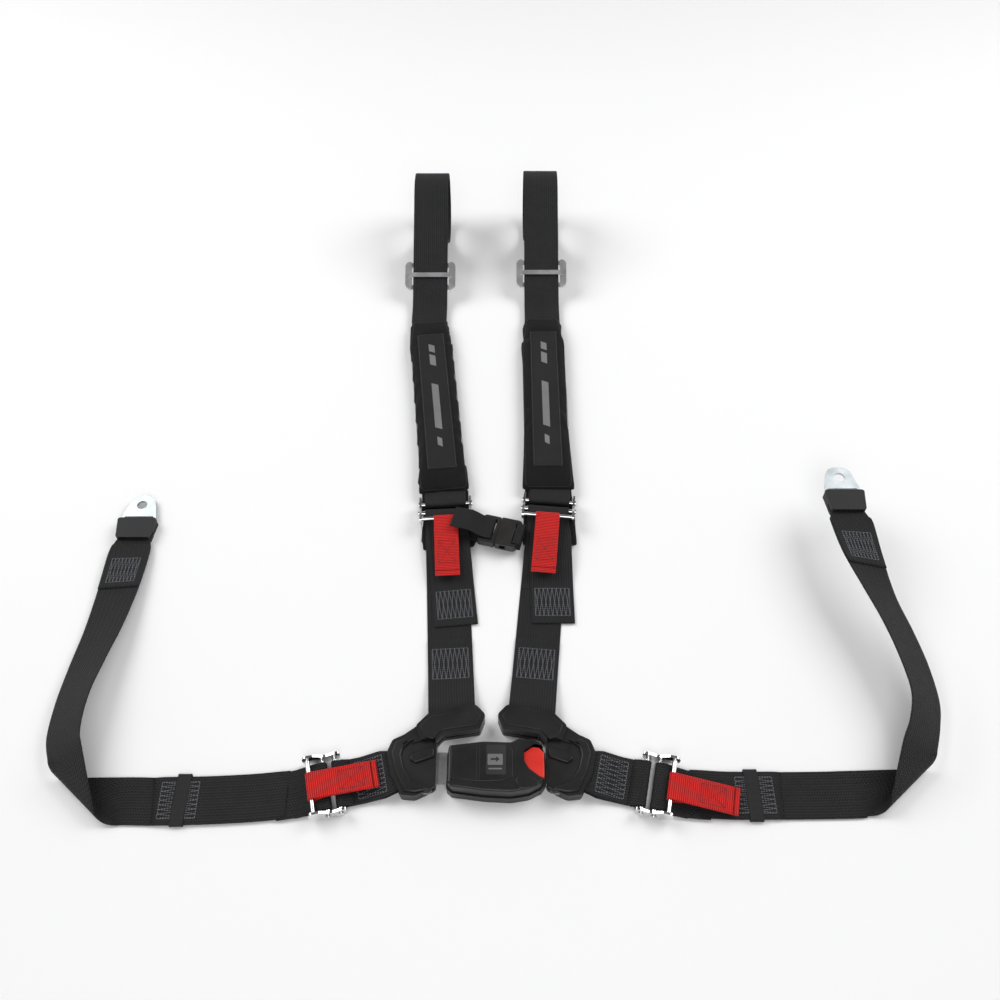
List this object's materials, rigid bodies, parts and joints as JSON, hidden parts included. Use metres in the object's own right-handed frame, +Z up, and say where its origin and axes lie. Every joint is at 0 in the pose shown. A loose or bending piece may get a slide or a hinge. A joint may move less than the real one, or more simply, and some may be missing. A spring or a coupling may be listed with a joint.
{
  "type": "racing harness",
  "caption": "Racing harness laid flat: padded shoulder straps with bar loops, lap straps with bolt-on end tabs, tilt-lock adjusters, a push-button buckle and a chest clip.",
  "frame": {"origin": "centre of the footprint, on the surface the harness lies on", "axes": "+X to the right and +Y from the buckle towards the shoulder loops, as the harness lies; +Z up"},
  "size_m": [0.9421, 0.9891, 0.1024],
  "materials": {
    "webbing": "tight woven polyester, slightly shiny along the ribs",
    "red_webbing": "woven, cross-ribbed",
    "padding": "soft matte woven cover over foam",
    "patch": "smooth matte patch with an overlocked edge",
    "elastic": "ribbed elastic",
    "boot_rubber": "moulded, matte",
    "chrome": "bright plated",
    "slide_metal": "satin silver",
    "zinc_steel": "zinc plated",
    "steel": "plated, ground edges",
    "spring_steel": "drawn wire",
    "black_plastic": "moulded, fine texture",
    "inner_plastic": "moulded",
    "red_plastic": "moulded, smooth",
    "label": "printed film, blank"
  },
  "bodies": {
    "harness": {"buckle_base": "black_plastic", "buckle_cover": "black_plastic", "buckle_frame": "steel", "buckle_label": "label", "button_spring": "spring_steel", "chest_clip_socket": "black_plastic", "chest_strap_left": "webbing", "chest_strap_right": "webbing", "ejector_spring": "spring_steel", "latch_pin": "steel", "latch_spring": "spring_steel", "left_bracket_lower_cover": "black_plastic", "left_bracket_upper_cover": "black_plastic", "left_lap_strap_inner": "webbing", "left_lap_strap_outer": "webbing", "left_link_plate": "steel", "left_shoulder_strap_lower": "webbing", "left_shoulder_strap_upper": "webbing", "left_tab_boot": "boot_rubber", "link_rivets": "steel", "right_shoulder_strap_lower": "webbing", "right_shoulder_strap_upper": "webbing"},
    "tongue_side": {"tongue_plate": "steel", "right_bracket_lower_cover": "black_plastic", "right_bracket_upper_cover": "black_plastic", "right_shoulder_strap_foot": "webbing", "right_lap_strap_inner": "webbing", "right_lap_strap_outer": "webbing", "right_tab_boot": "boot_rubber"},
    "button": {"release_button": "red_plastic"},
    "latch": {"latch_pawl": "steel"},
    "ejector_body": {"ejector": "inner_plastic"},
    "left_shoulder_adjuster": {"left_shoulder_adjuster_frame": "chrome"},
    "left_shoulder_grip": {"left_shoulder_grip_bar": "chrome", "left_shoulder_strap_roll": "webbing"},
    "left_shoulder_tab": {"left_shoulder_pull_tab": "red_webbing"},
    "left_lap_adjuster": {"left_lap_adjuster_frame": "chrome"},
    "left_lap_grip": {"left_lap_grip_bar": "chrome", "left_lap_strap_roll": "webbing"},
    "left_lap_tab": {"left_lap_pull_tab": "red_webbing"},
    "left_slide": {"left_shoulder_slide": "slide_metal"},
    "left_pad": {"left_shoulder_pad": "padding", "left_pad_patch": "patch"},
    "left_end_fitting": {"left_end_tab": "zinc_steel"},
    "left_keeper": {"left_strap_keeper": "elastic"},
    "right_shoulder_adjuster": {"right_shoulder_adjuster_frame": "chrome"},
    "right_shoulder_grip": {"right_shoulder_grip_bar": "chrome", "right_shoulder_strap_roll": "webbing"},
    "right_shoulder_tab": {"right_shoulder_pull_tab": "red_webbing"},
    "right_lap_adjuster": {"right_lap_adjuster_frame": "chrome"},
    "right_lap_grip": {"right_lap_grip_bar": "chrome", "right_lap_strap_roll": "webbing"},
    "right_lap_tab": {"right_lap_pull_tab": "red_webbing"},
    "right_slide": {"right_shoulder_slide": "slide_metal"},
    "right_pad": {"right_shoulder_pad": "padding", "right_pad_patch": "patch"},
    "right_end_fitting": {"right_end_tab": "zinc_steel"},
    "right_keeper": {"right_strap_keeper": "elastic"},
    "chest_plug": {"chest_clip_plug": "black_plastic"}
  },
  "joints": [
    {"name": "tongue_release", "type": "slide", "parent": "harness", "child": "tongue_side", "axis": [1, 0, 0], "range_m": [0, 0.03]},
    {"name": "button_press", "type": "slide", "parent": "harness", "child": "button", "axis": [-1, 0, 0], "range_m": [0, 0.0045], "deforming": ["button_spring"]},
    {"name": "latch_lift", "type": "hinge", "parent": "harness", "child": "latch", "pos_m": [-0.0133, -0.4356, 0.0137], "axis": [0, -1, 0], "range_deg": [0, 19.4], "deforming": ["latch_spring"]},
    {"name": "ejector_push", "type": "slide", "parent": "harness", "child": "ejector_body", "axis": [1, 0, 0], "range_m": [0, 0.012], "deforming": ["ejector_spring"]},
    {"name": "left_shoulder_tilt", "type": "hinge", "parent": "harness", "child": "left_shoulder_adjuster", "pos_m": [-0.0633, -0.0956, 0.0124], "axis": [-0.9984, -0.0567, 0], "range_deg": [0, 30]},
    {"name": "left_shoulder_grip_play", "type": "slide", "parent": "left_shoulder_adjuster", "child": "left_shoulder_grip", "axis": [0.0567, -0.9984, 0], "range_m": [0, 0.0012]},
    {"name": "left_shoulder_tab_lift", "type": "hinge", "parent": "left_shoulder_adjuster", "child": "left_shoulder_tab", "pos_m": [-0.06177, -0.12256, 0.0199], "axis": [-0.9984, -0.0567, 0], "range_deg": [0, 100]},
    {"name": "left_lap_tilt", "type": "hinge", "parent": "harness", "child": "left_lap_adjuster", "pos_m": [-0.16164, -0.45155, 0.006], "axis": [-0.2164, 0.9763, 0], "range_deg": [0, 30]},
    {"name": "left_lap_grip_play", "type": "slide", "parent": "left_lap_adjuster", "child": "left_lap_grip", "axis": [-0.9763, -0.2164, 0], "range_m": [0, 0.0012]},
    {"name": "left_lap_tab_lift", "type": "hinge", "parent": "left_lap_adjuster", "child": "left_lap_tab", "pos_m": [-0.188, -0.45739, 0.0135], "axis": [0.2164, -0.9763, 0], "range_deg": [0, 90]},
    {"name": "left_slide_adjust", "type": "slide", "parent": "harness", "child": "left_slide", "axis": [0, 0.866, 0.5], "range_m": [-0.004, 0.012]},
    {"name": "left_pad_slide", "type": "slide", "parent": "harness", "child": "left_pad", "axis": [-0.1028, 0.9947, 0], "range_m": [0, 0.015]},
    {"name": "left_end_tab_swing", "type": "hinge", "parent": "harness", "child": "left_end_fitting", "pos_m": [-0.4378, -0.1216, 0.0066], "axis": [1, 0, 0], "range_deg": [-5, 25]},
    {"name": "left_keeper_slide", "type": "slide", "parent": "harness", "child": "left_keeper", "axis": [1, 0, 0], "range_m": [-0.01, 0.01]},
    {"name": "right_shoulder_tilt", "type": "hinge", "parent": "harness", "child": "right_shoulder_adjuster", "pos_m": [0.0642, -0.0916, 0.0124], "axis": [-0.9956, 0.0941, 0], "range_deg": [0, 30]},
    {"name": "right_shoulder_grip_play", "type": "slide", "parent": "right_shoulder_adjuster", "child": "right_shoulder_grip", "axis": [-0.0941, -0.9956, 0], "range_m": [0, 0.0012]},
    {"name": "right_shoulder_tab_lift", "type": "hinge", "parent": "right_shoulder_adjuster", "child": "right_shoulder_tab", "pos_m": [0.06166, -0.11848, 0.0199], "axis": [-0.9956, 0.0941, 0], "range_deg": [0, 100]},
    {"name": "right_lap_tilt", "type": "hinge", "parent": "tongue_side", "child": "right_lap_adjuster", "pos_m": [0.15104, -0.45155, 0.006], "axis": [-0.2164, -0.9763, 0], "range_deg": [0, 30]},
    {"name": "right_lap_grip_play", "type": "slide", "parent": "right_lap_adjuster", "child": "right_lap_grip", "axis": [0.9763, -0.2164, 0], "range_m": [0, 0.0012]},
    {"name": "right_lap_tab_lift", "type": "hinge", "parent": "right_lap_adjuster", "child": "right_lap_tab", "pos_m": [0.1774, -0.45739, 0.0135], "axis": [-0.2164, -0.9763, 0], "range_deg": [0, 100]},
    {"name": "right_slide_adjust", "type": "slide", "parent": "harness", "child": "right_slide", "axis": [0, 0.866, 0.5], "range_m": [-0.004, 0.012]},
    {"name": "right_pad_slide", "type": "slide", "parent": "harness", "child": "right_pad", "axis": [0, 1, 0], "range_m": [0, 0.015]},
    {"name": "right_end_tab_swing", "type": "hinge", "parent": "tongue_side", "child": "right_end_fitting", "pos_m": [0.4087, -0.1206, 0.06], "axis": [1, 0, 0], "range_deg": [-20, 25]},
    {"name": "right_keeper_slide", "type": "slide", "parent": "tongue_side", "child": "right_keeper", "axis": [1, 0, 0], "range_m": [-0.01, 0.01]},
    {"name": "chest_plug_release", "type": "slide", "parent": "harness", "child": "chest_plug", "axis": [-0.9681, 0.2504, 0], "range_m": [0, 0.01], "deforming": ["chest_strap_left"]}
  ],
  "couplings": [
    {"joint": "button_press", "follows": "tongue_release", "ratio": 0.15},
    {"joint": "latch_lift", "follows": "tongue_release", "rad_per_m": 11.23},
    {"joint": "ejector_push", "follows": "tongue_release", "ratio": 0.4},
    {"joint": "left_lap_tab_lift", "follows": "left_lap_tilt", "ratio": 3}
  ]
}
